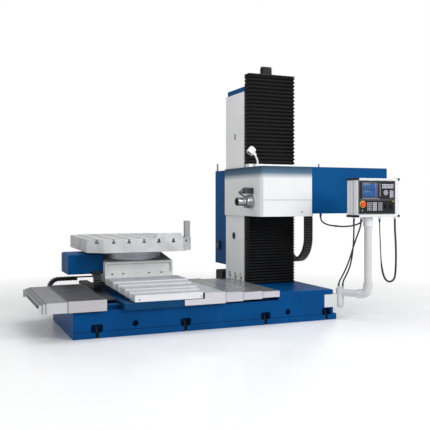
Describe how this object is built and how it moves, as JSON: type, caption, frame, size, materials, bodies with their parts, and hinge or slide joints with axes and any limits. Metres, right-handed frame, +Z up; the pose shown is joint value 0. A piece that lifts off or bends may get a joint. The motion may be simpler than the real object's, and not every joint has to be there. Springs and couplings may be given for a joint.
{
  "type": "horizontal boring mill",
  "caption": "Horizontal boring mill with a turning table on a cross slide, a column with a side spindle head, pleated way covers and a swinging control pendant.",
  "frame": {"origin": "centre of the bed's underside, on the floor", "axes": "+X along the bed towards the column, +Y to the back, +Z up"},
  "size_m": [3.985, 2.198, 2.754],
  "materials": {
    "blue_paint": "satin",
    "light_grey_paint": "satin",
    "white_paint": "satin",
    "saddle_paint": "satin",
    "dusty_blue_paint": "satin",
    "ground_steel": "brushed",
    "cover_steel": "brushed",
    "grey_cover": "matte",
    "dark_steel": "ground",
    "cast_iron": "machined",
    "bellows_black": "matte",
    "black_plastic": "matte",
    "dark_paint": "satin",
    "lamp_orange": "gloss",
    "cable_black": "matte",
    "stop_red": "gloss",
    "chrome_steel": "polished"
  },
  "bodies": {
    "frame": {"bed": "blue_paint", "column": "light_grey_paint", "column_cap": "blue_paint", "head_plate": "black_plastic", "top_motor": "dark_paint", "upper_bellows": "bellows_black", "lower_bellows": "bellows_black", "cabinet": "blue_paint", "isolator": "black_plastic", "signal_lamp": "lamp_orange", "feed_motor": "dark_paint", "right_cover_4": "cover_steel", "left_cover_4": "grey_cover", "left_cover_bracket": "dark_steel", "arm_bracket": "light_grey_paint", "head_chain": "black_plastic", "bed_chain": "black_plastic", "chain_trough": "dark_steel"},
    "saddle": {"saddle": "saddle_paint", "saddle_apron": "cover_steel", "cover_link": "dark_steel", "left_cover_1": "cover_steel", "right_cover_1": "cover_steel", "cross_cover_5": "cover_steel", "chain_tray": "dark_steel", "table_chain": "black_plastic", "chain_arm": "dark_steel"},
    "left_plate_2": {"left_cover_2": "grey_cover"},
    "left_plate_3": {"left_cover_3": "grey_cover"},
    "right_plate_2": {"right_cover_2": "cover_steel"},
    "right_plate_3": {"right_cover_3": "cover_steel"},
    "cross_plate_2": {"cross_cover_2": "cover_steel"},
    "cross_plate_3": {"cross_cover_3": "cover_steel"},
    "cross_plate_4": {"cross_cover_4": "cover_steel"},
    "table_slide": {"table_base": "white_paint", "table_ring": "ground_steel", "drive_cover": "blue_paint", "cross_cover_1": "cover_steel"},
    "table": {"rotary_table": "cast_iron", "edge_stop": "cast_iron", "corner_post": "ground_steel"},
    "head": {"head_body": "white_paint", "front_cover": "white_paint", "head_band": "dusty_blue_paint", "top_plate": "white_paint", "tail": "blue_paint", "nose_bracket": "ground_steel", "lamp_stand": "white_paint", "slack_cable": "cable_black"},
    "sleeve": {"spindle_sleeve": "ground_steel"},
    "spindle": {"boring_spindle": "chrome_steel"},
    "lamp": {"lamp_head": "white_paint"},
    "arm": {"swing_arm": "white_paint", "left_cable": "cable_black", "middle_cable": "cable_black"},
    "pendant": {"pendant_box": "white_paint", "pendant_caps": "black_plastic", "pendant_panel": "black_plastic", "stop_button": "stop_red", "coolant_hose": "cable_black"}
  },
  "joints": [
    {"name": "saddle_travel", "type": "slide", "parent": "frame", "child": "saddle", "axis": [1, 0, 0], "range_m": [0, 0.45], "deforming": ["bed_chain"]},
    {"name": "left_plate_2_slide", "type": "slide", "parent": "frame", "child": "left_plate_2", "axis": [1, 0, 0], "range_m": [0, 0.334]},
    {"name": "left_plate_3_slide", "type": "slide", "parent": "frame", "child": "left_plate_3", "axis": [1, 0, 0], "range_m": [0, 0.181]},
    {"name": "right_plate_2_slide", "type": "slide", "parent": "frame", "child": "right_plate_2", "axis": [1, 0, 0], "range_m": [0, 0.3169]},
    {"name": "right_plate_3_slide", "type": "slide", "parent": "frame", "child": "right_plate_3", "axis": [1, 0, 0], "range_m": [0, 0.1491]},
    {"name": "cross_travel", "type": "slide", "parent": "saddle", "child": "table_slide", "axis": [0, -1, 0], "range_m": [0, 0.529], "deforming": ["table_chain"]},
    {"name": "cross_plate_2_slide", "type": "slide", "parent": "saddle", "child": "cross_plate_2", "axis": [0, -1, 0], "range_m": [0, 0.4041]},
    {"name": "cross_plate_3_slide", "type": "slide", "parent": "saddle", "child": "cross_plate_3", "axis": [0, -1, 0], "range_m": [0, 0.2152]},
    {"name": "cross_plate_4_slide", "type": "slide", "parent": "saddle", "child": "cross_plate_4", "axis": [0, -1, 0], "range_m": [0, 0.1269]},
    {"name": "table_turn", "type": "hinge", "parent": "table_slide", "child": "table", "pos_m": [-0.5, 0.702, 0.78], "axis": [0, 0, 1], "continuous": true},
    {"name": "head_travel", "type": "slide", "parent": "frame", "child": "head", "axis": [0, 0, 1], "range_m": [-0.29, 0.65], "deforming": ["upper_bellows", "lower_bellows", "head_chain", "slack_cable"]},
    {"name": "spindle_turn", "type": "hinge", "parent": "head", "child": "sleeve", "pos_m": [0.65, 0.016, 1.232], "axis": [-1, 0, 0], "continuous": true},
    {"name": "spindle_feed", "type": "slide", "parent": "sleeve", "child": "spindle", "axis": [-1, 0, 0], "range_m": [0, 0.45]},
    {"name": "lamp_tilt", "type": "hinge", "parent": "head", "child": "lamp", "pos_m": [0.706, -0.02, 1.745], "axis": [0, 1, 0], "range_deg": [-25, 30]},
    {"name": "arm_swing", "type": "hinge", "parent": "frame", "child": "arm", "pos_m": [1.456, -0.53, 0.22], "axis": [0, 0, 1], "range_deg": [-35, 25]},
    {"name": "pendant_swivel", "type": "hinge", "parent": "arm", "child": "pendant", "pos_m": [1.63, -0.781, 1], "axis": [0, 0, 1], "range_deg": [-40, 40]}
  ],
  "couplings": [
    {"joint": "left_plate_2_slide", "follows": "saddle_travel", "ratio": 0.74},
    {"joint": "left_plate_3_slide", "follows": "saddle_travel", "ratio": 0.4},
    {"joint": "right_plate_2_slide", "follows": "saddle_travel", "ratio": 0.702},
    {"joint": "right_plate_3_slide", "follows": "saddle_travel", "ratio": 0.329},
    {"joint": "cross_plate_2_slide", "follows": "cross_travel", "ratio": 0.762},
    {"joint": "cross_plate_3_slide", "follows": "cross_travel", "ratio": 0.405},
    {"joint": "cross_plate_4_slide", "follows": "cross_travel", "ratio": 0.238}
  ]
}
